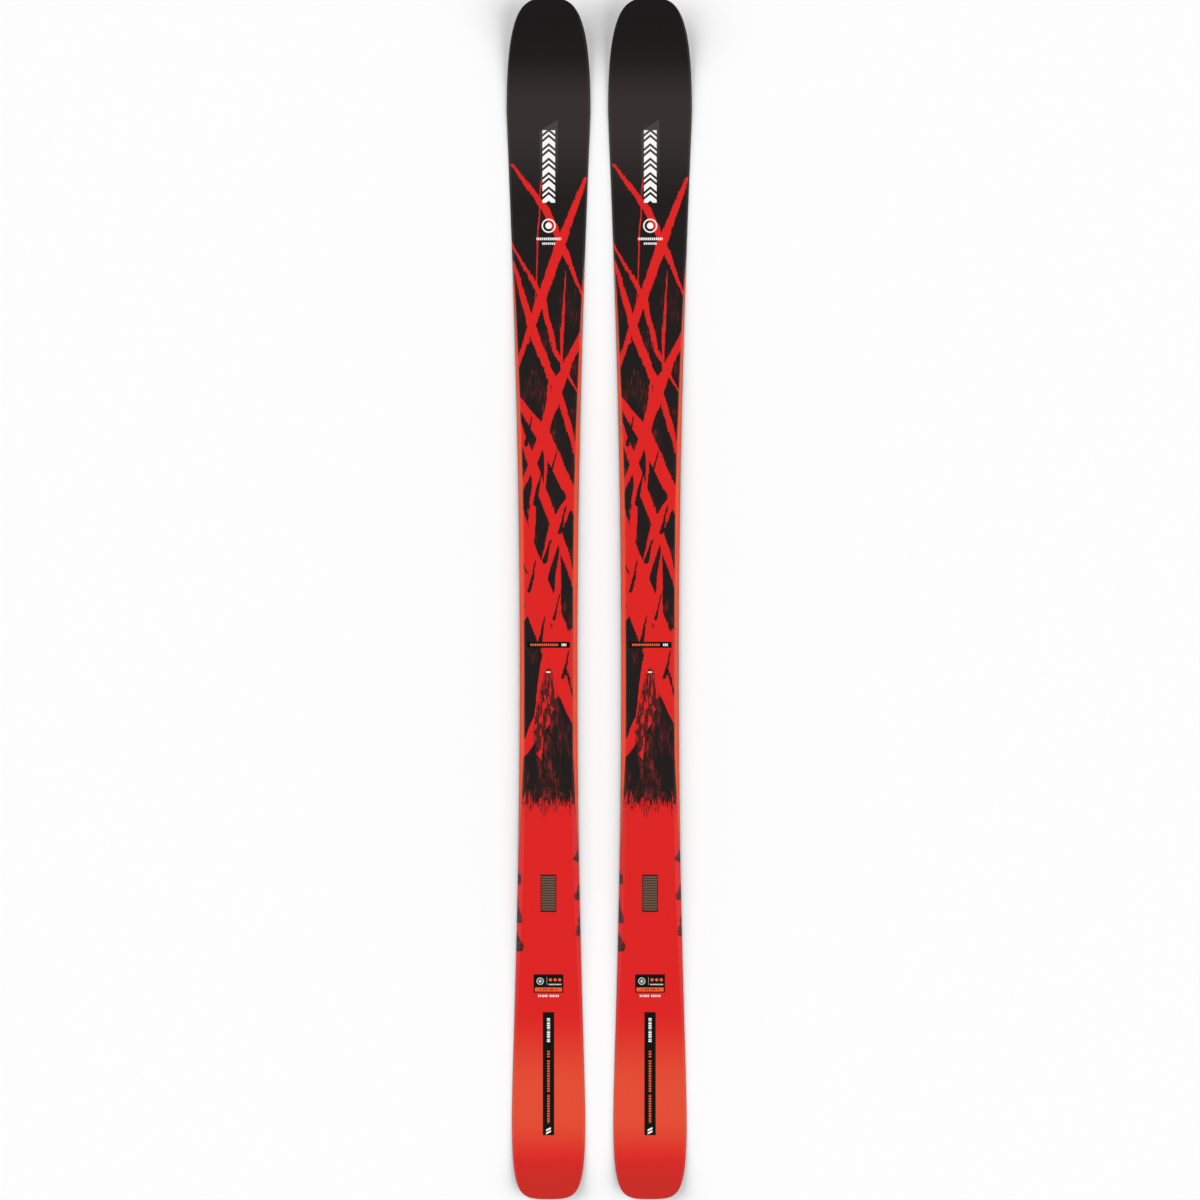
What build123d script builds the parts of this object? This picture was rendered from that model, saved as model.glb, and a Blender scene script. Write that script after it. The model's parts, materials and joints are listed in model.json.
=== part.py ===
from build123d import *
from math import ceil, cos, radians, sqrt, tan
import os

# A pair of flat alpine skis without bindings, each a wood-core laminate with
# sidewalls underfoot and a cap at the tip and the tail.
# Frame: +Y runs along the skis towards the tips, +X across them towards the
# right ski and +Z up. The origin is on the snow, midway between the skis and
# midway between tip and tail. Each ski is built about its own centre line
# and then placed. All sizes are in millimetres.

# ---------------------------------------------------------------- plan view
length = 1820.0
tip_width = 128.0
waist_width = 88.0
tail_width = 112.0
widest_tip_y = 745.0
waist_y = -105.0
widest_tail_y = -790.0
ski_spacing = 154.2           # centre line to centre line

# Curve handles of the outline: how far each tangent carries at a joint.
nose_handle = 38.0
shovel_handle = 156.0
fore_sidecut_handle = 40.0
fore_waist_handle = 450.0
aft_waist_handle = 370.0
aft_sidecut_handle = 85.0
tail_side_handle = 118.0
tail_end_handle = 45.0
round_handle = 0.55           # how much an inset of 1 mm shortens the end handles

# Straight edges that each curve of the outline is made of.
nose_edges = 16
fore_edges = 12
aft_edges = 10
tail_edges = 16

# ---------------------------------------------------------------- side view
half_length = length / 2
facet_depth = 0.06            # how far a flat of the layers may cut inside the curve
taper_flats = 12              # flats along the thinning from the middle to each end
overrun = 20.0                # how far the layer curves run past both ends
tail_contact_y = -760.0
tip_contact_y = 640.0
camber = 4.0
camber_arch = 1000.0          # length of the arched middle
contact_span = tip_contact_y - tail_contact_y
arch_centre_y = (tip_contact_y + tail_contact_y) / 2
arch_tail_y = arch_centre_y - camber_arch / 2
arch_tip_y = arch_centre_y + camber_arch / 2
shovel_y = 760.0              # where the tip starts to turn up firmly
tail_kick_y = -830.0

arch_radius = camber_arch * contact_span / (8 * camber)
settle_radius = arch_radius * (contact_span / camber_arch - 1)
rocker_radius = 2600.0
shovel_radius = 270.0
tail_rocker_radius = 1500.0
tail_kick_radius = 330.0

# Joints of the running surface from tail to tip, and the radius of each
# stretch between them. A negative radius arches upwards.
curve_joints = [-half_length - overrun, tail_kick_y, tail_contact_y, arch_tail_y,
                arch_tip_y, tip_contact_y, shovel_y, half_length + overrun]
curve_radii = [tail_kick_radius, tail_rocker_radius, settle_radius, -arch_radius,
               settle_radius, rocker_radius, shovel_radius]

# ---------------------------------------------------------------- thickness
middle_thickness = 12.0
end_thickness = 5.0
boot_centre_y = -110.0
binding_area = 440.0          # flat stretch that carries a binding
flat_tail_y = boot_centre_y - binding_area / 2
flat_tip_y = boot_centre_y + binding_area / 2
core_tip_y = 690.0            # where the core ends and the tip spacer begins
core_tail_y = -780.0

# ------------------------------------------------------------------- layers
# Heights above the running surface.
base_top = 1.3
edge_top = 1.9
damping_top = 2.15
lower_laminate_top = 2.7
# Depths below the top surface.
topsheet_thickness = 0.6
upper_laminate_bottom = 1.3
plate_thickness = 0.6

edge_width = 2.2              # width of the steel that shows below
flange_reach = 7.5            # from the outline to the tips of the anchor teeth
tooth_pitch = 35.0
tooth_gap = 12.0
tooth_gap_count = 48
tooth_root = 1.2              # solid strip of flange that joins the teeth
edge_ledge = 0.5              # steel left showing outside the sidewall
end_ledge = 0.2               # steel left showing ahead of the tip and behind the tail
round_end = 15.0              # both blunt ends, where the sides stop leaning
sidewall_angle = 36.0         # lean of the sidewall from upright
core_inset = 11.0             # from the outline to the side of the core
strip_width = 12.0            # each wood strip
plate_width = 60.0
plate_corner = 12.0
light_strips = (-4, -2, 0, 2, 4)    # places across the core, in strip widths
dense_strips = (-3, -1, 1, 3)

# Stretch where the sidewall shows, and the longer slants of the cap line.
cap_line_inset = 8.6
window_tip_y = 555.0
window_tip_slant = 265.0
window_tail_y = -420.0
window_tail_slant = 220.0
cap_line_steps = (-0.1, 0.15, 0.4, 0.7, 1.0)    # corners of each slant, as shares of it

side_lean = tan(radians(sidewall_angle))
reach = 100.0                 # half width of cutting blocks, wider than a ski
block_height = 58.0           # just taller than the turned-up tip


# ----------------------------------------------------- running surface curve
def curve_states():
    """Height and slope of the running surface at each joint of its curve."""
    contact = curve_joints.index(tail_contact_y)
    states = {contact: (0.0, 0.0)}
    for i in range(contact, len(curve_radii)):
        height, slope = states[i]
        run = curve_joints[i + 1] - curve_joints[i]
        states[i + 1] = (height + slope * run + run**2 / (2 * curve_radii[i]),
                         slope + run / curve_radii[i])
    for i in range(contact, 0, -1):
        height, slope = states[i]
        run = curve_joints[i - 1] - curve_joints[i]
        states[i - 1] = (height + slope * run + run**2 / (2 * curve_radii[i - 1]),
                         slope + run / curve_radii[i - 1])
    return states


joint_states = curve_states()


def running_state(y):
    """Height and slope of the running surface at any place along the ski."""
    i = max(n for n in range(len(curve_radii)) if n == 0 or curve_joints[n] <= y)
    height, slope = joint_states[i]
    run = y - curve_joints[i]
    return (height + slope * run + run**2 / (2 * curve_radii[i]),
            slope + run / curve_radii[i])


def facets(start, end, radius):
    """Number of flats that follow a stretch of that radius closely."""
    return max(1, ceil((end - start) / sqrt(8 * facet_depth * abs(radius))))


def running_line(from_y, to_y, lift):
    """Points at a constant height over the running surface, tail to tip."""
    points = []
    for start, end, radius in zip(curve_joints, curve_joints[1:], curve_radii):
        count = facets(start, end, radius)
        for n in range(count):
            points.append(start + (end - start) * n / count)
    points = [from_y, *[y for y in points if from_y < y < to_y], to_y]
    return [(y, running_state(y)[0] + lift) for y in points]


def low_line(lift):
    return running_line(curve_joints[0], curve_joints[-1], lift)


flat_height = camber + middle_thickness


def taper(from_y, to_y, drop):
    """Points of the smooth thinning from the flat binding area to an end of
    the core, without its first and last point."""
    height, slope = running_state(to_y)
    end_height = height + end_thickness
    for n in range(1, taper_flats):
        u = n / taper_flats
        blend = 3 * u**2 - 2 * u**3
        tilt = (u**3 - u**2) * slope * (to_y - from_y)
        yield (from_y + u * (to_y - from_y),
               flat_height + blend * (end_height - flat_height) + tilt - drop)


def high_line(drop):
    """The top surface of the ski, or a line at a constant depth below it."""
    return [*running_line(curve_joints[0], core_tail_y, end_thickness - drop),
            *reversed(list(taper(flat_tail_y, core_tail_y, drop))),
            (flat_tail_y, flat_height - drop),
            (flat_tip_y, flat_height - drop),
            *taper(flat_tip_y, core_tip_y, drop),
            *running_line(core_tip_y, curve_joints[-1], end_thickness - drop)]


def layer(lower, upper):
    """Block between two lines of the side view."""
    with BuildPart() as block:
        with BuildSketch(Plane.YZ):
            with BuildLine():
                Polyline(*lower, *reversed(upper), close=True)
            make_face()
        extrude(amount=reach, both=True)
    return block.part


# ------------------------------------------------------------------ outline
def curve_points(start, leave, arrive, end, count):
    """Points of a cubic curve from start up to, but without, its end."""
    for n in range(count):
        t = n / count
        weights = ((1 - t)**3, 3 * t * (1 - t)**2, 3 * t**2 * (1 - t), t**3)
        corners = (start, leave, arrive, end)
        yield (sum(w * x for w, (x, _) in zip(weights, corners)),
               sum(w * y for w, (_, y) in zip(weights, corners)))


def right_side(inset=0.0):
    """Right half of the outline, from the nose to the middle of the tail,
    or of a line that runs a constant distance inside it."""
    tip_x = tip_width / 2 - inset
    waist_x = waist_width / 2 - inset
    tail_x = tail_width / 2 - inset
    end_y = half_length - inset
    shorter = round_handle * inset
    nose = curve_points((0, end_y),
                        (nose_handle - shorter, end_y),
                        (tip_x, widest_tip_y + shovel_handle - shorter),
                        (tip_x, widest_tip_y), nose_edges)
    fore = curve_points((tip_x, widest_tip_y),
                        (tip_x, widest_tip_y - fore_sidecut_handle),
                        (waist_x, waist_y + fore_waist_handle),
                        (waist_x, waist_y), fore_edges)
    aft = curve_points((waist_x, waist_y),
                       (waist_x, waist_y - aft_waist_handle),
                       (tail_x, widest_tail_y + aft_sidecut_handle),
                       (tail_x, widest_tail_y), aft_edges)
    tail = curve_points((tail_x, widest_tail_y),
                        (tail_x, widest_tail_y - tail_side_handle + shorter),
                        (tail_end_handle - shorter, -end_y),
                        (0, -end_y), tail_edges)
    return [*nose, *fore, *aft, *tail, (0, -end_y)]


def plan(inset=0.0):
    """The whole shape of the ski seen from above, or of a smaller layer."""
    side = right_side(inset)
    with BuildSketch() as shape:
        with BuildLine():
            Polyline(*side, *[(-x, y) for x, y in reversed(side[1:-1])], close=True)
        make_face()
    return shape.sketch


def side_strip(outer_inset, inner_inset):
    """Strip along the whole right side, between two lines inside the outline."""
    with BuildSketch() as shape:
        with BuildLine():
            Polyline(*right_side(outer_inset), *reversed(right_side(inner_inset)),
                     close=True)
        make_face()
    return shape.sketch


def side_points(shift):
    """Points along the right side between the round ends, moved outwards by
    shift(y)."""
    return [(x + shift(y), y) for x, y in right_side()
            if abs(y) < half_length - round_end]


def half_width(y):
    """Half the width of the ski at any place between its ends."""
    side = right_side()
    (x0, y0), (x1, y1) = next(pair for pair in zip(side, side[1:])
                              if pair[0][1] >= y >= pair[1][1])
    return x0 + (x1 - x0) * (y0 - y) / (y0 - y1)


# ----------------------------------------------------------- cutting blocks
def upright(sketch):
    """Tall block with the plan of a sketch."""
    with BuildPart() as block:
        add(sketch)
        extrude(amount=block_height, both=True)
    return block.part


def leaning(inset):
    """Tall block with both sides leaning in like the sidewalls."""
    def shift(y):
        return side_lean * (running_state(y)[0] + edge_top) - inset

    end_y = half_length + overrun
    with BuildPart() as block:
        with BuildSketch():
            with BuildLine():
                Polyline(*side_points(shift),
                         (reach, -end_y),
                         (-2 * reach, -end_y),
                         (-2 * reach, end_y),
                         (reach, end_y),
                         close=True)
            make_face()
        extrude(amount=block_height / cos(radians(sidewall_angle)),
                dir=(-side_lean, 0, 1))
        mirror(about=Plane.YZ, mode=Mode.INTERSECT)
    return block.part


def stretch(from_y, to_y):
    """Block between two places along the ski."""
    with BuildPart() as block:
        with Locations((0, (from_y + to_y) / 2, 0)):
            Box(2 * reach, to_y - from_y, 4 * block_height)
    return block.part


def cap_line(end_y, slant):
    """Points of the topsheet's lower rim where it slants across the sidewall,
    from just outside the ski to as deep as the sidewall leans in."""
    for step in cap_line_steps:
        y = end_y - slant * step
        yield half_width(y) - cap_line_inset * step, y


def sidewall_window():
    """Both strips, seen from above, where the sidewall is left uncovered."""
    deep_x = waist_width / 2 - cap_line_inset
    tip_rim = list(cap_line(window_tip_y, window_tip_slant))
    tail_rim = list(cap_line(window_tail_y, -window_tail_slant))
    with BuildPart() as block:
        with BuildSketch():
            with BuildLine():
                Polyline(*tip_rim,
                         (deep_x, tip_rim[-1][1]),
                         (deep_x, tail_rim[-1][1]),
                         *reversed(tail_rim),
                         (reach, tail_rim[0][1]),
                         (reach, tip_rim[0][1]),
                         close=True)
            make_face()
            mirror(about=Plane.YZ)
        extrude(amount=block_height)
    return block.part


# ------------------------------------------------------------ shared blocks
skin_inset = edge_ledge + topsheet_thickness / cos(radians(sidewall_angle))

# Everything above the steel edges: sides that lean in, and the top surface.
with BuildPart() as upper_body:
    add(layer(low_line(edge_top), high_line(0)))
    add(upright(plan(end_ledge)), mode=Mode.INTERSECT)
    add(leaning(edge_ledge), mode=Mode.INTERSECT)

# What the topsheet covers: the inside of the cap, and the sidewalls where
# they are left bare.
with BuildPart() as under_topsheet:
    add(upright(plan(end_ledge + topsheet_thickness)))
    add(leaning(skin_inset), mode=Mode.INTERSECT)
    add(sidewall_window())
    add(layer(low_line(0), high_line(topsheet_thickness)),
        mode=Mode.INTERSECT)

with BuildPart() as filling:
    add(upper_body.part)
    add(under_topsheet.part, mode=Mode.INTERSECT)

with BuildPart() as between_laminates:
    add(filling.part)
    add(layer(low_line(lower_laminate_top),
              high_line(upper_laminate_bottom)),
        mode=Mode.INTERSECT)


# ------------------------------------------------- pieces of the under side
with BuildPart() as under_flange:
    add(upright(side_strip(edge_width, 2 * flange_reach)))
    add(layer(low_line(-base_top), low_line(base_top)), mode=Mode.INTERSECT)

with BuildPart() as base:
    add(upright(plan(edge_width)))
    add(layer(low_line(0), low_line(base_top)), mode=Mode.INTERSECT)

# The steel runs round one side, from the nose to the middle of the tail. Its
# flange lies on the base and is cut into anchor teeth.
with BuildSketch() as tooth_gaps:
    with GridLocations(0, tooth_pitch, 1, tooth_gap_count):
        Rectangle(2 * reach, tooth_gap)
    add(side_strip(edge_width + tooth_root, 2 * flange_reach), mode=Mode.INTERSECT)

with BuildPart() as side_edge:
    add(upright(side_strip(0, flange_reach)))
    add(layer(low_line(0), low_line(edge_top)), mode=Mode.INTERSECT)
    add(under_flange.part, mode=Mode.SUBTRACT)
    add(upright(tooth_gaps.sketch), mode=Mode.SUBTRACT)

with BuildPart() as side_damping_strip:
    add(filling.part)
    add(upright(side_strip(-flange_reach, flange_reach)), mode=Mode.INTERSECT)
    add(layer(low_line(edge_top), low_line(damping_top)), mode=Mode.INTERSECT)


# --------------------------------------------------------- laminate and core
# The lower laminate fills the space between the teeth of both edges and
# spreads over the damping strips.
with BuildPart() as laminate_step:
    add(upright(plan(flange_reach)))
    add(layer(low_line(base_top), low_line(damping_top)),
        mode=Mode.INTERSECT)

with BuildPart() as lower_laminate:
    add(filling.part)
    add(layer(low_line(damping_top), low_line(lower_laminate_top)),
        mode=Mode.INTERSECT)
    add(laminate_step.part)

with BuildPart() as upper_laminate:
    add(filling.part)
    add(layer(high_line(upper_laminate_bottom),
              high_line(topsheet_thickness)),
        mode=Mode.INTERSECT)

with BuildPart() as reinforcement_plate:
    with BuildSketch():
        with Locations((0, boot_centre_y)):
            RectangleRounded(plate_width, binding_area, plate_corner)
    extrude(amount=block_height)
    add(layer(high_line(upper_laminate_bottom + plate_thickness),
              high_line(upper_laminate_bottom)),
        mode=Mode.INTERSECT)

with BuildPart() as core:
    add(between_laminates.part)
    add(upright(plan(core_inset)), mode=Mode.INTERSECT)
    add(stretch(core_tail_y, core_tip_y), mode=Mode.INTERSECT)
    add(reinforcement_plate.part, mode=Mode.SUBTRACT)


def strips(centres):
    """Wood strips of the core that stand at the given places across it."""
    with BuildPart() as wood:
        for x in centres:
            with Locations((x, 0, 0)):
                Box(strip_width, length, 2 * block_height)
        add(core.part, mode=Mode.INTERSECT)
    return wood.part


with BuildPart() as light_core_strips:
    add(strips([n * strip_width for n in light_strips]))

with BuildPart() as dense_core_strips:
    add(strips([n * strip_width for n in dense_strips]))

with BuildPart() as side_sidewall:
    add(between_laminates.part)
    add(upright(side_strip(-flange_reach, core_inset)), mode=Mode.INTERSECT)
    add(stretch(core_tail_y, core_tip_y), mode=Mode.INTERSECT)

with BuildPart() as tip_spacer:
    add(between_laminates.part)
    add(stretch(core_tip_y, half_length), mode=Mode.INTERSECT)

with BuildPart() as tail_spacer:
    add(between_laminates.part)
    add(stretch(-half_length, core_tail_y), mode=Mode.INTERSECT)

with BuildPart() as topsheet:
    add(upper_body.part)
    add(under_topsheet.part, mode=Mode.SUBTRACT)


# ------------------------------------------------------------ both skis
centred_pieces = {
    "base": base,
    "lower_laminate": lower_laminate,
    "light_core_strips": light_core_strips,
    "dense_core_strips": dense_core_strips,
    "reinforcement_plate": reinforcement_plate,
    "tip_spacer": tip_spacer,
    "tail_spacer": tail_spacer,
    "upper_laminate": upper_laminate,
    "topsheet": topsheet,
}
side_pieces = {
    "edge": side_edge,
    "damping_strip": side_damping_strip,
    "sidewall": side_sidewall,
}

os.makedirs("parts", exist_ok=True)
for ski, outward in (("left", -1), ("right", 1)):
    pieces = {name: piece.part for name, piece in centred_pieces.items()}
    for name, piece in side_pieces.items():
        right_piece = piece.part
        left_piece = piece.part.mirror(Plane.YZ)
        pieces["outer_" + name] = right_piece if outward > 0 else left_piece
        pieces["inner_" + name] = left_piece if outward > 0 else right_piece
    for name, piece in pieces.items():
        placed = piece.moved(Location((outward * ski_spacing / 2, 0, 0)))
        placed.label = ski + "_" + name
        export_step(placed, "parts/" + placed.label + ".step")
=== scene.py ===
import json
import math

import bmesh
import bpy
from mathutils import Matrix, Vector


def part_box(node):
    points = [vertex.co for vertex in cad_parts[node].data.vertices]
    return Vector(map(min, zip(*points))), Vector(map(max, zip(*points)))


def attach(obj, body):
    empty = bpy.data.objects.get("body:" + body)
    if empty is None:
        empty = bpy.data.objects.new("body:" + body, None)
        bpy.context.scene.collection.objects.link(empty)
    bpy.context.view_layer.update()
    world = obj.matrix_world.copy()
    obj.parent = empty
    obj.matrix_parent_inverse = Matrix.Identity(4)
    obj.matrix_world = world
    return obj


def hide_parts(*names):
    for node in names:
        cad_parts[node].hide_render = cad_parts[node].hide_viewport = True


# A pair of flat alpine skis, seen from straight above on a pale floor. The
# steel edges, running bases and topsheets get smooth meshes of their own,
# worked out in millimetres from the same few dimensions as the frame. The
# sidewalls and everything inside keep the frame's solids.
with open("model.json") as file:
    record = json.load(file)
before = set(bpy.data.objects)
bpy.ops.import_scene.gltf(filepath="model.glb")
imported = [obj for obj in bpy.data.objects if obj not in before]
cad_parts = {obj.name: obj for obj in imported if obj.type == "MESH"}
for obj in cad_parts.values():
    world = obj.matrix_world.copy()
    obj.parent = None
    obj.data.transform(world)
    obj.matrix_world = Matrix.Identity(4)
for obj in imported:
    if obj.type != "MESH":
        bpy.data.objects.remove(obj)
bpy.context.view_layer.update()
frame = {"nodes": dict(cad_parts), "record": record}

MM = 0.001

# ------------------------------------------------------------- dimensions
outer_edge_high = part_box("right_outer_edge")[1]
inner_edge_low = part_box("right_inner_edge")[0]
half_length = outer_edge_high[1] / MM
tip_width = (outer_edge_high[0] - inner_edge_low[0]) / MM
centre_x = (outer_edge_high[0] + inner_edge_low[0]) / 2 / MM
waist_width = 88.0
tail_width = 112.0
widest_tip_y = 745.0
waist_y = -105.0
widest_tail_y = -790.0

# Curve handles of the outline: how far each tangent carries at a joint.
nose_handle = 38.0
shovel_handle = 156.0
fore_sidecut_handle = 40.0
fore_waist_handle = 450.0
aft_waist_handle = 370.0
aft_sidecut_handle = 85.0
tail_side_handle = 118.0
tail_end_handle = 45.0
round_handle = 0.55           # how much an inset of 1 mm shortens the end handles

camber = 4.0
camber_arch = 1000.0
tail_contact_y = -760.0
tip_contact_y = 640.0
contact_span = tip_contact_y - tail_contact_y
arch_centre_y = (tip_contact_y + tail_contact_y) / 2
arch_radius = camber_arch * contact_span / (8 * camber)
settle_radius = arch_radius * (contact_span / camber_arch - 1)
shovel_y, tail_kick_y = 760.0, -830.0
shovel_radius, rocker_radius = 270.0, 2600.0
tail_rocker_radius, tail_kick_radius = 1500.0, 330.0
overrun = 1.0

# Joints of the running surface from tail to tip, and the radius of each
# stretch between them. A negative radius arches upwards.
curve_joints = [-half_length - overrun, tail_kick_y, tail_contact_y,
                arch_centre_y - camber_arch / 2, arch_centre_y + camber_arch / 2,
                tip_contact_y, shovel_y, half_length + overrun]
curve_radii = [tail_kick_radius, tail_rocker_radius, settle_radius, -arch_radius,
               settle_radius, rocker_radius, shovel_radius]

middle_thickness = 12.0
end_thickness = 5.0
flat_height = camber + middle_thickness
flat_tail_y, flat_tip_y = -330.0, 110.0
core_tail_y, core_tip_y = -780.0, 690.0

base_top = 1.3
edge_top = 1.9
edge_width = 2.2
flange_reach = 7.5
edge_ledge = 0.5              # strip of steel left bare outside the wall
end_ledge = 0.2
edge_bevel = 0.25
topsheet_thickness = 0.6
side_lean = math.tan(math.radians(36.0))
upright_lean = 0.08           # of the wall round both blunt ends
round_end = 15.0              # length of those ends
lean_fade = 18.0              # stretch over which the lean returns
ledge_fade = 40.0
top_easing = 1.1              # how far the rounding of the top's edge reaches

# The window underfoot, where the topsheet stops short of the outline and
# leaves the sidewall bare. Each end of it slants over a length.
window_tip_y, window_tip_slant = 555.0, 265.0
window_tail_y, window_tail_slant = -420.0, 220.0
cap_line_inset = 8.6


# ------------------------------------------------------------ ski surfaces
def curve_states():
    """Height and slope of the running surface at each joint of its curve."""
    contact = curve_joints.index(tail_contact_y)
    states = {contact: (0.0, 0.0)}
    ahead = range(contact, len(curve_radii))
    behind = range(contact, 0, -1)
    for i, j, k in [(i, i + 1, i) for i in ahead] + [(i, i - 1, i - 1) for i in behind]:
        height, slope = states[i]
        run = curve_joints[j] - curve_joints[i]
        states[j] = (height + slope * run + run**2 / (2 * curve_radii[k]),
                     slope + run / curve_radii[k])
    return states


joint_states = curve_states()


def running_state(y):
    """Height and slope of the running surface at any place along the ski."""
    i = max(n for n in range(len(curve_radii)) if n == 0 or curve_joints[n] <= y)
    height, slope = joint_states[i]
    run = y - curve_joints[i]
    return height + slope * run + run**2 / (2 * curve_radii[i]), slope + run / curve_radii[i]


def running_height(y):
    return running_state(y)[0]


def top_height(y):
    """Height of the topsheet at any place along the ski."""
    if y <= core_tail_y or y >= core_tip_y:
        return running_height(y) + end_thickness
    if flat_tail_y <= y <= flat_tip_y:
        return flat_height
    start, end = (flat_tip_y, core_tip_y) if y > flat_tip_y else (flat_tail_y, core_tail_y)
    height, slope = running_state(end)
    u = (y - start) / (end - start)
    blend = 3 * u**2 - 2 * u**3
    return (flat_height + blend * (height + end_thickness - flat_height)
            + (u**3 - u**2) * slope * (end - start))


def cubic(start, leave, arrive, end, t):
    weights = ((1 - t)**3, 3 * t * (1 - t)**2, 3 * t**2 * (1 - t), t**3)
    corners = (start, leave, arrive, end)
    return tuple(sum(w * corner[axis] for w, corner in zip(weights, corners))
                 for axis in (0, 1))


def side_point(place, inset):
    """Point on the right side of a line inside the outline. The place runs
    from 0 at the nose over 1, 2 and 3 at the widest tip, waist and widest
    tail to 4 at the middle of the tail."""
    tip_x = tip_width / 2 - inset
    waist_x = waist_width / 2 - inset
    tail_x = tail_width / 2 - inset
    end_y = half_length - inset
    shorter = round_handle * inset
    curves = (
        ((0, end_y), (nose_handle - shorter, end_y),
         (tip_x, widest_tip_y + shovel_handle - shorter), (tip_x, widest_tip_y)),
        ((tip_x, widest_tip_y), (tip_x, widest_tip_y - fore_sidecut_handle),
         (waist_x, waist_y + fore_waist_handle), (waist_x, waist_y)),
        ((waist_x, waist_y), (waist_x, waist_y - aft_waist_handle),
         (tail_x, widest_tail_y + aft_sidecut_handle), (tail_x, widest_tail_y)),
        ((tail_x, widest_tail_y), (tail_x, widest_tail_y - tail_side_handle + shorter),
         (tail_end_handle - shorter, -end_y), (0, -end_y)))
    part = min(3, int(place))
    return cubic(*curves[part], place - part)


def places(nose=44, fore=70, aft=56, tail=36):
    """Evenly spaced places along each of the four curves of a side."""
    steps = [part + n / count for part, count in enumerate((nose, fore, aft, tail))
             for n in range(count)]
    return steps + [4.0]


def cap_rim_inset(y):
    """How far inside the outline the topsheet's lower rim runs."""
    tip_side = (window_tip_y - y) / window_tip_slant
    tail_side = (y - window_tail_y) / window_tail_slant
    return cap_line_inset * max(0.0, min(1.0, tip_side, tail_side))


# ------------------------------------------------------------------ meshes
def fold_strip(shape, plan):
    """Lays a long sheet into rows on its bake layer, so that its print keeps
    its detail when it is baked. The underside, which is hidden, shares a thin
    margin of each row."""
    layer = shape.loops.layers.uv.new("OFBake")
    rows = 4
    row_length = 2 * half_length / rows
    row_share, hidden_share = 0.94 / rows, 0.02 / rows
    row_start, hidden_start = 0.01, 0.965
    for face in shape.faces:
        middle = sum(vertex[plan].y for vertex in face.verts) / len(face.verts)
        row = max(0, min(rows - 1, int((middle + half_length) // row_length)))
        for corner in face.loops:
            x, y, _ = corner.vert[plan]
            along = (y + half_length - row * row_length) / row_length
            across = x / tip_width + 0.5
            shown = face.normal.z > -0.01
            share, start = (row_share, row_start) if shown else (hidden_share, hidden_start)
            corner[layer].uv = (0.012 + 0.976 * along, (row + start) / rows + share * across)


def shell(name, loops, centre, closed_ends=False, folded=False):
    """Mesh skinned over loops of points, each given in millimetres about the
    ski's own centre line. The attribute "plan" keeps those coordinates."""
    mesh = bpy.data.meshes.new(name)
    shape = bmesh.new()
    plan = shape.verts.layers.float_vector.new("plan")
    rows = []
    for loop in loops:
        row = []
        for x, y, z in loop:
            vertex = shape.verts.new(((x + centre) * MM, y * MM, z * MM))
            vertex[plan] = (x, y, z)
            row.append(vertex)
        rows.append(row)
    for row, following in zip(rows, rows[1:]):
        for n in range(len(row)):
            m = (n + 1) % len(row)
            shape.faces.new((row[n], row[m], following[m], following[n]))
    if closed_ends:
        shape.faces.new(rows[0])
        shape.faces.new(reversed(rows[-1]))
    bmesh.ops.remove_doubles(shape, verts=shape.verts, dist=1e-6)
    bmesh.ops.recalc_face_normals(shape, faces=shape.faces)
    shape.normal_update()
    for face in shape.faces:
        face.smooth = True
    if folded:
        fold_strip(shape, plan)
    shape.to_mesh(mesh)
    shape.free()
    piece = bpy.data.objects.new(name, mesh)
    bpy.context.collection.objects.link(piece)
    return piece


def sharpen(piece, degrees=32):
    piece.data.set_sharp_from_angle(angle=math.radians(degrees))


# Insets of the rows that round the topsheet's edge, about its shoulder.
shoulder_steps = (-0.75, -0.35, 0.05, 0.45, 0.9, 1.6)
least_step = 0.03


def topsheet_loop(place):
    """One cross-section of the topsheet: up over the outside and back
    underneath, from the left rim to the right rim and back."""
    _, y_side = side_point(place, edge_ledge)
    thickness = top_height(y_side) - running_height(y_side)
    full_ledge = min(1.0, max(0.0, (half_length - abs(y_side)) / ledge_fade))
    ledge = end_ledge + (edge_ledge - end_ledge) * full_ledge
    from_end = half_length - round_end - abs(y_side)
    lean = upright_lean + (side_lean - upright_lean) * min(1.0, max(0.0, from_end / lean_fade))
    skin_across = topsheet_thickness * math.hypot(1, lean)
    shoulder = ledge + (thickness - edge_top) * lean
    layer_side = ledge + (thickness - topsheet_thickness - edge_top) * lean
    rim = min(max(cap_rim_inset(y_side), ledge), layer_side)

    def outer(inset):
        x, y = side_point(place, inset)
        bevel = running_height(y) + edge_top + (inset - ledge) / lean
        top = top_height(y)
        overlap = max(top_easing - abs(bevel - top), 0) / top_easing
        return x, y, min(bevel, top) - overlap**2 * top_easing / 4

    def inner(inset):
        x, y = side_point(place, inset)
        bevel = running_height(y) + edge_top + max(0.0, inset - ledge - skin_across) / lean
        return x, y, min(bevel, top_height(y) - topsheet_thickness)

    rise = shoulder - rim
    insets = sorted(max(rim, d) for d in (
        rim, rim + 0.5 * rise, *(shoulder + step for step in shoulder_steps)))
    for n in range(1, len(insets)):
        insets[n] = max(insets[n], insets[n - 1] + least_step)
    right = [outer(d) for d in insets]
    under = [inner(d) for d in (shoulder + skin_across + 0.4, layer_side + skin_across,
                                max(rim + 0.05, rim + skin_across * 0.9))]
    x_edge, y_edge, z_edge = right[-1]
    across = [(x_edge * (1 - n / 5), y_edge, z_edge) for n in range(1, 10)]
    left = [(-x, y, z) for x, y, z in reversed(right)]
    under_left = [(-x, y, z) for x, y, z in reversed(under)]
    return right + across + left + under_left + under


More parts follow.
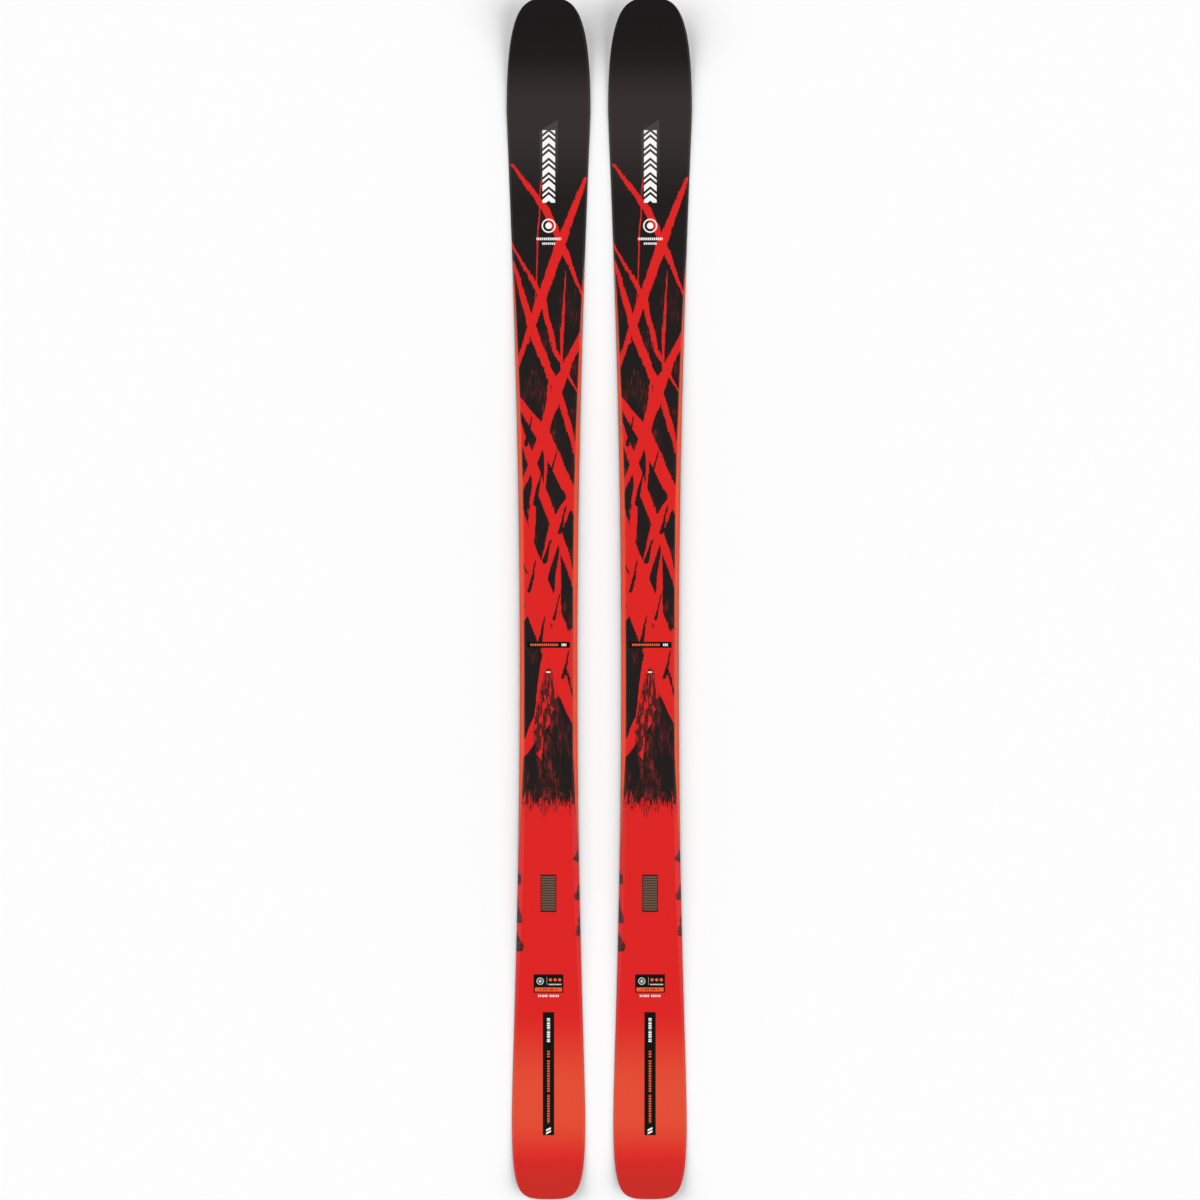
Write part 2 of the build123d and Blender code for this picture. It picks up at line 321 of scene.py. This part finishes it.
def edge_loop(place):
    """Cross-section of a steel edge: a bar under the outline and its flange."""
    section = ((0.0, 0.0), (0.0, edge_top - edge_bevel), (edge_bevel, edge_top),
               (flange_reach, edge_top), (flange_reach, base_top), (edge_width, base_top),
               (edge_width, 0.0))
    loop = []
    for inset, lift in section:
        x, y = side_point(place, inset)
        loop.append((x, y, running_height(y) + lift))
    return loop


def base_loop(place):
    """Cross-section of the running base, flush with the steel on both sides."""
    x, y = side_point(place, edge_width)
    low = running_height(y)
    across = [x * (1 - n / 4) for n in range(9)]
    return ([(side, y, low) for side in across]
            + [(side, y, low + base_top) for side in reversed(across)])


pieces = {}
for ski, outward in (("left", -1), ("right", 1)):
    body = ski + "_ski"
    centre = outward * centre_x
    sheet = shell(ski + "_topsheet_skin", [topsheet_loop(p) for p in places()], centre,
                  folded=True)
    sharpen(sheet, 50)
    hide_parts(ski + "_topsheet")
    sole = shell(ski + "_running_base", [base_loop(p) for p in places()], centre)
    sharpen(sole)
    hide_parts(ski + "_base")
    rails = []
    for side_name, side in (("outer", outward), ("inner", -outward)):
        loops = [[(side * x, y, z) for x, y, z in edge_loop(p)] for p in places()]
        rail = shell(ski + "_" + side_name + "_steel_edge", loops, centre, closed_ends=True)
        sharpen(rail)
        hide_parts(ski + "_" + side_name + "_edge")
        rails.append(rail)
    pieces[ski] = {"topsheet": [sheet], "running_base": [sole], "edge_steel": rails}
    for slot_name, group in pieces[ski].items():
        for piece in group:
            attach(piece, body)


# --------------------------------------------------------------- materials
def linear(red, green, blue):
    """Colour for a shader from screen values of 0 to 255."""
    def one(value):
        value = value / 255
        return value / 12.92 if value <= 0.04045 else ((value + 0.055) / 1.055)**2.4
    return one(red), one(green), one(blue), 1.0


class Nodes:
    """One short call for each kind of node in a shader tree."""

    def __init__(self, tree):
        self.tree = tree

    def node(self, kind, **settings):
        made = self.tree.nodes.new("ShaderNode" + kind)
        for name, value in settings.items():
            setattr(made, name, value)
        return made

    def feed(self, socket, value):
        if isinstance(value, bpy.types.NodeSocket):
            self.tree.links.new(value, socket)
        else:
            socket.default_value = value

    def feed_all(self, made, values):
        for socket, value in zip(made.inputs, values):
            self.feed(socket, value)

    def math(self, operation, *values):
        made = self.node("Math", operation=operation)
        self.feed_all(made, values)
        return made.outputs[0]

    def vector(self, operation, *values, scale=None):
        made = self.node("VectorMath", operation=operation)
        self.feed_all(made, values)
        if scale is not None:
            self.feed(made.inputs["Scale"], scale)
        wants_value = operation in ("DOT_PRODUCT", "DISTANCE", "LENGTH")
        return made.outputs["Value" if wants_value else "Vector"]

    def call(self, group, *values):
        made = self.node("Group")
        made.node_tree = group
        self.feed_all(made, values)
        return made.outputs[0]

    def noise(self, place, scale, detail=2.0, roughness=0.5, colour=False):
        made = self.node("TexNoise")
        made.inputs["Scale"].default_value = scale
        made.inputs["Detail"].default_value = detail
        made.inputs["Roughness"].default_value = roughness
        self.feed(made.inputs["Vector"], place)
        return made.outputs["Color" if colour else "Fac"]

    def ramp(self, value, low, high):
        """0 below low and 1 above high, or 1 to 0 when low is the larger."""
        made = self.node("MapRange", interpolation_type="SMOOTHSTEP", clamp=False)
        rising = low < high
        limits = (min(low, high), max(low, high), 0.0 if rising else 1.0, 1.0 if rising else 0.0)
        self.feed_all(made, (value, *limits))
        return made.outputs["Result"]

    def mix(self, first, second, factor):
        made = self.node("Mix", data_type="RGBA")
        self.feed(made.inputs[0], factor)
        self.feed(made.inputs[6], first)
        self.feed(made.inputs[7], second)
        return made.outputs[2]

    def split(self, vector):
        made = self.node("SeparateXYZ")
        self.feed(made.inputs[0], vector)
        return made.outputs


def grouped(name, inputs, build):
    """Node group with one result, built from named inputs by a function."""
    tree = bpy.data.node_groups.new(name, "ShaderNodeTree")
    for input_name, kind in inputs:
        tree.interface.new_socket(input_name, in_out="INPUT", socket_type="NodeSocket" + kind)
    tree.interface.new_socket("Result", in_out="OUTPUT", socket_type="NodeSocketFloat")
    given = tree.nodes.new("NodeGroupInput").outputs
    result = build(Nodes(tree), *given[:len(inputs)])
    tree.links.new(result, tree.nodes.new("NodeGroupOutput").inputs[0])
    return tree


def stroke_distance(nodes, joined, place, start, along, share, radius, growth):
    """Distance from a tapered stroke, joined to the strokes before it."""
    offset = nodes.vector("SUBTRACT", place, start)
    dot = nodes.vector("DOT_PRODUCT", offset, share)
    reach = nodes.math("MINIMUM", nodes.math("MAXIMUM", dot, 0.0), 1.0)
    apart = nodes.vector("DISTANCE", offset, nodes.vector("SCALE", along, scale=reach))
    width = nodes.math("MULTIPLY_ADD", reach, growth, radius)
    return nodes.math("MINIMUM", joined, nodes.math("SUBTRACT", apart, width))


def block_cover(nodes, x, y, centre_x, centre_y, half_x, half_y, slant):
    """1 inside an upright rectangle, or inside one whose ends slant."""
    across = nodes.math("SUBTRACT", x, centre_x)
    along = nodes.math("SUBTRACT", y, centre_y)
    along = nodes.math("MULTIPLY_ADD", across, slant, along)
    over_x = nodes.math("SUBTRACT", nodes.math("ABSOLUTE", across), half_x)
    over_y = nodes.math("SUBTRACT", nodes.math("ABSOLUTE", along), half_y)
    return nodes.ramp(nodes.math("MAXIMUM", over_x, over_y), 0.12, -0.12)


def row_cover(nodes, axis, start, half_pitch, half_mark):
    """1 on each mark of an evenly spaced row along an axis."""
    wave = nodes.math("PINGPONG", nodes.math("SUBTRACT", axis, start), half_pitch)
    return nodes.ramp(nodes.math("SUBTRACT", wave, half_mark), 0.1, -0.1)


stroke_group = grouped("brush_stroke", [
    ("Joined", "Float"), ("Place", "Vector"), ("Start", "Vector"), ("Along", "Vector"),
    ("Share", "Vector"), ("Radius", "Float"), ("Growth", "Float")], stroke_distance)
block_group = grouped("block", [
    ("X", "Float"), ("Y", "Float"), ("Centre X", "Float"), ("Centre Y", "Float"),
    ("Half X", "Float"), ("Half Y", "Float"), ("Slant", "Float")], block_cover)
row_group = grouped("row_of_marks", [
    ("Axis", "Float"), ("Start", "Float"), ("Half pitch", "Float"),
    ("Half mark", "Float")], row_cover)


class Paint(Nodes):
    """A material whose surface is one principled shader."""

    def __init__(self, name, roughness=0.5, metallic=0.0, specular=0.5):
        self.material = bpy.data.materials.new(name)
        self.material.use_nodes = True
        super().__init__(self.material.node_tree)
        self.surface = self.tree.nodes["Principled BSDF"]
        self.surface.inputs["Roughness"].default_value = roughness
        self.surface.inputs["Metallic"].default_value = metallic
        self.surface.inputs["Specular IOR Level"].default_value = specular

    def plan_place(self):
        """Millimetres about the ski's own centre line, kept on the mesh."""
        return self.node("Attribute", attribute_name="plan").outputs["Vector"]

    def own_place(self):
        return self.node("TexCoord").outputs["Object"]

    def finish(self, colour=None, roughness=None):
        for name, value in (("Base Color", colour), ("Roughness", roughness)):
            if value is not None:
                self.tree.links.new(value, self.surface.inputs[name])
        return self.material

    def bump(self, height, distance, strength=1.0):
        made = self.node("Bump")
        made.inputs["Distance"].default_value = distance
        made.inputs["Strength"].default_value = strength
        self.feed(made.inputs["Height"], height)
        self.tree.links.new(made.outputs[0], self.surface.inputs["Normal"])


black = linear(28, 24, 23)
lighter_black = linear(50, 44, 43)
tip_black = linear(22, 17, 18)
red = linear(216, 31, 29)
tail_orange = linear(222, 74, 48)
tail_end_red = linear(197, 40, 33)
dull_red = linear(138, 36, 34)
white = linear(244, 243, 240)
panel_grey = linear(78, 74, 74)
label_black = linear(6, 5, 5)
label_orange = linear(236, 96, 50)
khaki = linear(106, 82, 66)
block_brown = linear(36, 25, 22)
emblem_grey = linear(200, 198, 194)
far_away = 1000.0


class Print(Paint):
    """The topsheet's print: brush strokes, blocks and small marks, all placed
    in millimetres from the ski's centre, with +Y towards the tip."""

    def __init__(self, name):
        super().__init__(name, roughness=0.32, specular=0.16)
        self.place = self.plan_place()
        flat = self.vector("MULTIPLY", self.place, (1.0, 1.0, 0.0))
        self.flat_place = flat
        self.x, self.y, _ = self.split(flat)
        slow = self.noise(self.vector("MULTIPLY", flat, (0.09, 0.022, 0.0)), 1.0, 3.0, colour=True)
        quick = self.noise(self.vector("MULTIPLY", flat, (0.8, 0.16, 0.0)), 1.0, 3.0, colour=True)
        sway = self.vector("SCALE", self.vector("SUBTRACT", slow, (0.5, 0.5, 0.5)), scale=6.0)
        fray = self.vector("SCALE", self.vector("SUBTRACT", quick, (0.5, 0.5, 0.5)), scale=2.2)
        moved = self.vector("ADD", self.vector("ADD", flat, sway), fray)
        self.rough_place = self.vector("MULTIPLY", moved, (1.0, 1.0, 0.0))
        self.bristles = self.streaks((0.6, 0.045, 0.0))
        patch = self.noise(self.vector("MULTIPLY", flat, (0.045, 0.02, 0.0)), 1.0, 1.0)
        dryness = self.math("MULTIPLY_ADD", self.ramp(patch, 0.46, 0.62), 9.0, 2.0)
        self.dry = self.math("MULTIPLY", self.math("SUBTRACT", self.bristles, 0.5), dryness)

    def streaks(self, stretch):
        """Fine bristle noise, drawn out by the stretch."""
        return self.noise(self.vector("MULTIPLY", self.rough_place, stretch), 1.0, 4.0, 0.65)

    def fan(self, x, y):
        """Streaks that spread out from a point, back along the ski."""
        across = self.math("SUBTRACT", self.x, x)
        back = self.math("SUBTRACT", y, self.y)
        angle = self.math("ARCTAN2", across, back)
        reach = self.vector("DISTANCE", self.flat_place, (x, y, 0.0))
        spread = self.node("CombineXYZ")
        self.feed_all(spread, (self.math("MULTIPLY", angle, 26.0),
                               self.math("MULTIPLY", reach, 0.035)))
        return self.noise(spread.outputs[0], 1.0, 4.0, 0.6)

    def strokes(self, paths):
        """Distance from brush paths, each a list of (x, y, half width)."""
        distance = far_away
        for path in paths:
            for (x0, y0, r0), (x1, y1, r1) in zip(path, path[1:]):
                along = (x1 - x0, y1 - y0, 0.0)
                square = along[0]**2 + along[1]**2
                share = tuple(value / square for value in along)
                distance = self.call(stroke_group, distance, self.rough_place,
                                     (x0, y0, 0.0), along, share, r0, r1 - r0)
        return distance

    def block(self, x, y, half_x, half_y, slant=0.0):
        """1 inside an upright rectangle about a point."""
        return self.call(block_group, self.x, self.y, x, y, half_x, half_y, -slant)

    def disc(self, x, y, radius, softness=0.2):
        """1 inside a circle."""
        out = self.vector("DISTANCE", self.flat_place, (x, y, 0.0))
        return self.ramp(out, radius, radius - softness)

    def round_mark(self, x, y, radius, hole, dot, softness=0.2):
        """1 on a ring and on the dot in its middle."""
        out = self.vector("DISTANCE", self.flat_place, (x, y, 0.0))
        ring = self.math("MULTIPLY", self.ramp(out, radius, radius - softness),
                         self.ramp(out, hole, hole + softness))
        return self.math("MAXIMUM", ring, self.ramp(out, dot, dot - softness))

    def dashes(self, x, y, half_x, half_y, pitch, share=0.62, down=False, word=None):
        """A row of small marks that stands where a line of text would be. A
        word's length, if given, breaks it up."""
        axis, middle = (self.y, y) if down else (self.x, x)
        row = self.call(row_group, axis, middle - 200 * pitch, pitch / 2, pitch / 2 * share)
        if word:
            row = self.math("MULTIPLY", row, self.call(
                row_group, axis, middle - 40.5 * word, word / 2, word / 2 * 0.86))
        return self.math("MULTIPLY", self.block(x, y, half_x, half_y), row)


golden_step = 0.618           # spreads a row of values without a pattern


def varied(n, low, high):
    """The n-th of a row of values that are well spread between two limits."""
    return low + (high - low) * (golden_step * n % 1)


def crossing_strokes(count=11, first_y=560.0, pitch=70.0):
    """Tapered strokes across the ski, each wider than those nearer the tip and
    every third one leaning the other way, and a few long ones drawn along it."""
    paths = []
    for n in range(count):
        side = -1 if n % 3 == 1 else 1
        middle_y = first_y - pitch * n
        length = varied(n, 200.0, 360.0)
        width = varied(2 * n + 1, 2.0, 8.0) + 0.9 * n
        paths.append([(-side * 56.0, middle_y + 0.5 * length, 0.3 * width),
                      (-side * varied(n, 4.0, 26.0), middle_y + 0.16 * length, width),
                      (side * varied(n + 3, 8.0, 30.0), middle_y - 0.18 * length, 0.8 * width),
                      (side * 52.0, middle_y - 0.5 * length, 0.2 * width)])
    for n in range(6):
        top_y = 640.0 - 140.0 * n
        drag_x = varied(n + 2, -30.0, 30.0)
        width = 1.2 + 1.5 * n
        paths.append([(drag_x + 5.0, top_y, 0.5), (drag_x, top_y - 90.0, width),
                      (drag_x - 4.0, top_y - 190.0, 0.4 * width)])
    return paths


def dark_drags(count=9):
    """Short slanted marks that leave the black showing through the red."""
    paths = []
    for n in range(count):
        mark_x, mark_y = varied(n, -30.0, 30.0), 250.0 - 44.0 * n
        paths.append([(mark_x + 5.0, mark_y + varied(n + 1, 14.0, 34.0), 0.8),
                      (mark_x - 4.0, mark_y - 16.0, varied(n + 4, 1.6, 4.4))])
    return paths


def side_dabs(count=6):
    """Dry dabs along the left and the right side in turn."""
    paths = []
    for n in range(count):
        side = -1 if n % 2 else 1
        dab_y = -372.0 - 27.0 * n
        paths.append([(side * 49.0, dab_y, 1.0),
                      (side * 45.0, dab_y - varied(n, 20.0, 36.0), varied(n + 1, 4.0, 8.0))])
    return paths


def topsheet_material():
    paint = Print("printed_topsheet")
    x, y = paint.x, paint.y
    _, rough_y, _ = paint.split(paint.rough_place)

    # Ground colours: a black that turns lighter ahead of the shovel and darker
    # again at the nose, and a red that turns lighter, then darker, towards the tail.
    tip_tone = paint.math("MULTIPLY", paint.ramp(y, 590.0, 720.0), paint.ramp(y, 830.0, 750.0))
    ground = paint.mix(black, lighter_black, tip_tone)
    ground = paint.mix(ground, tip_black, paint.ramp(y, 790.0, 890.0))
    tail_tone = paint.math("MULTIPLY", paint.ramp(y, -620.0, -745.0),
                           paint.ramp(y, -865.0, -785.0))
    red_ink = paint.mix(red, tail_orange, tail_tone)
    red_ink = paint.mix(red_ink, tail_end_red, paint.ramp(y, -830.0, -890.0))

    # Straight streaks of dull red that show through the black.
    straight = paint.noise(paint.vector("MULTIPLY", paint.flat_place, (0.85, 0.05, 0.0)), 1.0, 3.0)
    cloud = paint.noise(paint.vector("MULTIPLY", paint.flat_place, (0.03, 0.012, 0.0)), 1.0, 1.0)
    reach = paint.math("MULTIPLY", paint.ramp(y, 500.0, 420.0), paint.ramp(cloud, 0.47, 0.58))
    streaked = paint.math("MULTIPLY", reach, paint.ramp(straight, 0.5, 0.72))
    backing = paint.mix(ground, dull_red, paint.math("MULTIPLY", streaked, 0.8))

    # The red field behind the middle, with a torn front edge, and the strokes.
    field = paint.math("ADD", rough_y, 235.0)
    field = paint.math("MULTIPLY_ADD", paint.bristles, 150.0, field)
    red_distance = paint.math("MINIMUM", paint.strokes(crossing_strokes()), field)
    red_cover = paint.ramp(paint.math("ADD", red_distance, paint.dry), 0.25, -0.25)
    colour = paint.mix(backing, red_ink, red_cover)

    # Dark paint dragged over the red, and a worn dark brush fanned out
    # behind the middle.
    dark_edge = paint.math("MULTIPLY_ADD", paint.dry, 0.6, paint.strokes(dark_drags()))
    colour = paint.mix(colour, ground, paint.ramp(dark_edge, 0.3, -0.3))
    fan = paint.fan(0.0, -30.0)
    fan_distance = paint.strokes([[(0.0, -110.0, 6.0), (0.0, -190.0, 24.0), (0.0, -290.0, 16.0)]])
    spread = paint.math("MULTIPLY_ADD", fan, 26.0, paint.math("SUBTRACT", fan_distance, 13.0))
    fan_cover = paint.math("MULTIPLY", paint.ramp(spread, 1.5, -1.5), paint.ramp(fan, 0.42, 0.5))
    fan_ink = paint.mix(ground, dull_red, paint.ramp(fan, 0.46, 0.74))
    colour = paint.mix(colour, fan_ink, fan_cover)

    # Dry dabs along both sides of the red.
    fine = paint.streaks((0.8, 0.11, 0.0))
    frayed = paint.math("MULTIPLY_ADD", fine, 14.0,
                        paint.math("SUBTRACT", paint.strokes(side_dabs()), 6.6))
    dab_ink = paint.mix(ground, dull_red, paint.ramp(fine, 0.4, 0.72))
    colour = paint.mix(colour, dab_ink, paint.ramp(frayed, 0.6, -0.6))

    # Plain block of fine lines behind the middle.
    block_y = -446.0
    lines = paint.call(row_group, y, -900.0, 1.9, 1.3)
    lit = paint.math("MULTIPLY", paint.block(0.0, block_y, 10.8, 27.0), lines)
    ink = paint.mix(block_brown, khaki, lit)
    colour = paint.mix(colour, ink, paint.block(0.0, block_y, 12.0, 28.5))

    # Shovel: slanted grey panel, a column of chevrons and a round mark.
    panel = paint.block(0.3, 663.0, 13.8, 57.0, slant=0.62)
    panel_tone = paint.math("MULTIPLY", panel, paint.ramp(y, 600.0, 730.0))
    colour = paint.mix(colour, panel_grey, paint.math("MULTIPLY", panel_tone, 0.6))
    column_x, half_pitch = 0.4, 10.9
    column = paint.block(column_x, 657.5, 9.6, 55.0)
    fold = paint.math("ABSOLUTE", paint.math("SUBTRACT", x, column_x))
    folded_y = paint.math("MULTIPLY_ADD", fold, 0.85, y)
    broad = paint.call(row_group, folded_y, 0.0, half_pitch, 4.6)
    narrow = paint.call(row_group, folded_y, half_pitch, half_pitch, 2.0)
    chevrons = paint.math("MULTIPLY", column, paint.math("MAXIMUM", broad, narrow))
    colour = paint.mix(colour, white, chevrons)
    round_mark = paint.round_mark(0.2, 567.5, 10.8, 8.5, 5.0, softness=0.3)
    colour = paint.mix(colour, white, round_mark)
    colour = paint.mix(colour, white, paint.dashes(0.4, 547.6, 18.8, 1.9, 3.2, share=0.7))
    colour = paint.mix(colour, white, paint.dashes(0.2, 540.4, 9.8, 1.6, 2.9, share=0.66))

    # Labels: one near the middle, the boot's mark behind it, and a badge
    # near the tail.
    label_y = -68.9
    colour = paint.mix(colour, label_black, paint.block(0.0, label_y, 32.6, 4.6))
    label_marks = paint.dashes(-6.4, label_y, 21.5, 1.7, 3.3, share=0.7)
    colour = paint.mix(colour, label_orange, label_marks)
    colour = paint.mix(colour, white, paint.dashes(23.4, label_y, 3.6, 1.9, 3.6, share=0.75))
    colour = paint.mix(colour, white, paint.block(0.0, -110.3, 3.2, 0.9))
    badge_y, band_y = -579.6, -592.3
    colour = paint.mix(colour, label_black, paint.block(0.0, -583.1, 22.6, 13.9))
    badge = paint.math("MAXIMUM", paint.round_mark(-12.6, badge_y, 5.6, 4.0, 2.4),
                       paint.block(-2.4, badge_y, 0.2, 6.0))
    colour = paint.mix(colour, emblem_grey, badge)
    for dot_x in (3.0, 10.0, 17.0):
        colour = paint.mix(colour, label_orange, paint.disc(dot_x, badge_y + 2.0, 2.5))
    colour = paint.mix(colour, white, paint.dashes(10.0, badge_y - 5.0, 9.8, 0.9, 1.8, share=0.6))
    colour = paint.mix(colour, label_orange, paint.block(0.0, band_y, 20.6, 3.0))
    band_marks = paint.dashes(0.0, band_y, 14.0, 1.2, 2.4, share=0.6, word=9.6)
    colour = paint.mix(colour, label_black, band_marks)
    colour = paint.mix(colour, white, paint.dashes(0.0, -602.0, 15.6, 1.6, 2.5, word=11.0))

    # Tail strip with marks that run along the ski and two slanted bars.
    colour = paint.mix(colour, label_black, paint.block(0.0, -720.2, 8.6, 93.5))
    strip_white = paint.dashes(0.0, -654.0, 2.3, 18.5, 3.4, 0.7, down=True, word=12.5)
    colour = paint.mix(colour, white, strip_white)
    for line_y, half_y in ((-690.5, 6.2), (-724.0, 24.0), (-773.5, 22.0)):
        marks = paint.dashes(0.0, line_y, 1.9, half_y, 3.8, 0.6, down=True)
        colour = paint.mix(colour, label_orange, marks)
    for bar_y in (-809.3, -804.7):
        colour = paint.mix(colour, white, paint.block(0.0, bar_y, 3.6, 1.4, slant=0.5))

    # Satin lacquer: fine orange peel, duller where paint was dragged.
    peel = paint.noise(paint.vector("MULTIPLY", paint.place, (0.6, 0.6, 0.6)), 1.0, 3.0)
    roughness = paint.math("MULTIPLY_ADD", peel, 0.12, 0.24)
    roughness = paint.math("MULTIPLY_ADD", red_cover, 0.05, roughness)
    paint.surface.inputs["Coat Weight"].default_value = 0.05
    paint.surface.inputs["Coat Roughness"].default_value = 0.12
    paint.bump(peel, 0.00003, 0.5)
    return paint.finish(colour, roughness)


def grained_material(name, light, dark, stretch, scale, roughness, depth=0.00002,
                     metallic=0.0, specular=0.5, spread=(0.35, 0.65)):
    """Material with a streaked two-tone grain drawn out along one axis."""
    paint = Paint(name, roughness=roughness, metallic=metallic, specular=specular)
    place = paint.vector("MULTIPLY", paint.own_place(), stretch)
    grain = paint.noise(place, scale, 4.0, 0.6)
    colour = paint.mix(dark, light, paint.ramp(grain, *spread))
    rough = paint.math("MULTIPLY_ADD", grain, 0.2, roughness - 0.1)
    paint.bump(grain, depth, 0.6)
    return paint.finish(colour, rough)


materials = {
    "topsheet": topsheet_material(),
    "edge_steel": grained_material(
        "ground_steel_edge", (0.62, 0.63, 0.64, 1), (0.45, 0.46, 0.47, 1),
        (8.0, 0.3, 8.0), 120.0, 0.32, metallic=1.0),
    "running_base": grained_material(
        "stone_ground_base", (0.022, 0.022, 0.024, 1), (0.012, 0.012, 0.013, 1),
        (6.0, 0.12, 1.0), 300.0, 0.4),
    "sidewall": grained_material(
        "planed_orange_sidewall", linear(238, 74, 22), linear(228, 62, 18),
        (1.0, 0.06, 1.0), 260.0, 0.45, specular=0.3),
    "damping_rubber": grained_material(
        "edge_rubber", (0.03, 0.03, 0.03, 1), (0.018, 0.018, 0.018, 1),
        (1.0, 1.0, 1.0), 900.0, 0.75),
    "glass_laminate": grained_material(
        "glass_fibre_laminate", (0.06, 0.06, 0.05, 1), (0.025, 0.026, 0.022, 1),
        (9.0, 0.4, 4.0), 160.0, 0.45),
    "light_wood": grained_material(
        "light_core_wood", (0.66, 0.47, 0.27, 1), (0.48, 0.30, 0.15, 1),
        (9.0, 0.35, 9.0), 30.0, 0.6, depth=0.0001),
    "dense_wood": grained_material(
        "dense_core_wood", (0.47, 0.27, 0.13, 1), (0.28, 0.14, 0.06, 1),
        (9.0, 0.35, 9.0), 34.0, 0.55, depth=0.0001),
    "spacer_plastic": grained_material(
        "moulded_spacer", (0.045, 0.045, 0.045, 1), (0.028, 0.028, 0.028, 1),
        (1.0, 1.0, 1.0), 700.0, 0.55),
    "metal_sheet": grained_material(
        "rolled_metal_sheet", (0.66, 0.66, 0.67, 1), (0.54, 0.54, 0.55, 1),
        (4.0, 0.2, 4.0), 200.0, 0.35, metallic=1.0),
}

slot_of_node = {part["node"]: part["material_slot"] for part in frame["record"]["subparts"]}
for node_name, node_object in frame["nodes"].items():
    node_object.data.materials.clear()
    node_object.data.materials.append(materials[slot_of_node[node_name]])
for groups in pieces.values():
    for slot_name, group in groups.items():
        for piece in group:
            piece.data.materials.append(materials[slot_name])


# ------------------------------------------------------------------- studio
def soft_sun(name, across, along, up, strength):
    """Wide, even light from one side, the same all over the floor."""
    lamp = bpy.data.lights.new(name, "SUN")
    lamp.energy = strength
    lamp.angle = math.radians(55.0)
    holder = bpy.data.objects.new(name, lamp)
    holder.rotation_euler = Vector((across, along, up)).to_track_quat("Z", "Y").to_euler()
    bpy.context.collection.objects.link(holder)


sun_strength = 1.72
soft_sun("left_light", -1.0, 0.35, 1.05, sun_strength)
soft_sun("right_light", 1.0, -0.35, 1.05, sun_strength)

# A white room whose ceiling, right above, is darker than its walls.
world = bpy.data.worlds.new("studio")
world.use_nodes = True
room = Nodes(world.node_tree)
background = world.node_tree.nodes["Background"]
background.inputs["Color"].default_value = (1.0, 1.0, 1.0, 1.0)
height = room.split(room.node("TexCoord").outputs["Generated"])[2]
far_light, wall_light, ceiling_light = 1.0, 0.42, 0.16
low = room.ramp(height, 0.16, 0.05)
middle = room.ramp(height, 0.9, 0.45)
strength = room.math("MULTIPLY_ADD", middle, wall_light - ceiling_light, ceiling_light)
strength = room.math("MULTIPLY_ADD", low, far_light - wall_light, strength)
room.feed(background.inputs["Strength"], strength)
bpy.context.scene.world = world
bpy.context.scene.view_settings.view_transform = "Standard"

floor_mesh = bpy.data.meshes.new("floor")
floor_half = 60.0
floor_mesh.from_pydata([(-floor_half, -floor_half, 0), (floor_half, -floor_half, 0),
                        (floor_half, floor_half, 0), (-floor_half, floor_half, 0)],
                       [], [(0, 1, 2, 3)])
floor = bpy.data.objects.new("floor", floor_mesh)
bpy.context.collection.objects.link(floor)
floor_paint = Paint("pale_floor", roughness=0.8, specular=0.1)
floor_paint.surface.inputs["Base Color"].default_value = (0.93, 0.93, 0.93, 1.0)
floor_mesh.materials.append(floor_paint.material)

camera_data = bpy.data.cameras.new("camera")
camera_data.lens = 200.0
camera_data.sensor_width = 36.0
camera = bpy.data.objects.new("camera", camera_data)
view_span = 1.8235
camera.location = (0.0011, -0.0009, view_span * camera_data.lens / camera_data.sensor_width)
camera_data.clip_end = 200.0
bpy.context.collection.objects.link(camera)
bpy.context.scene.camera = camera
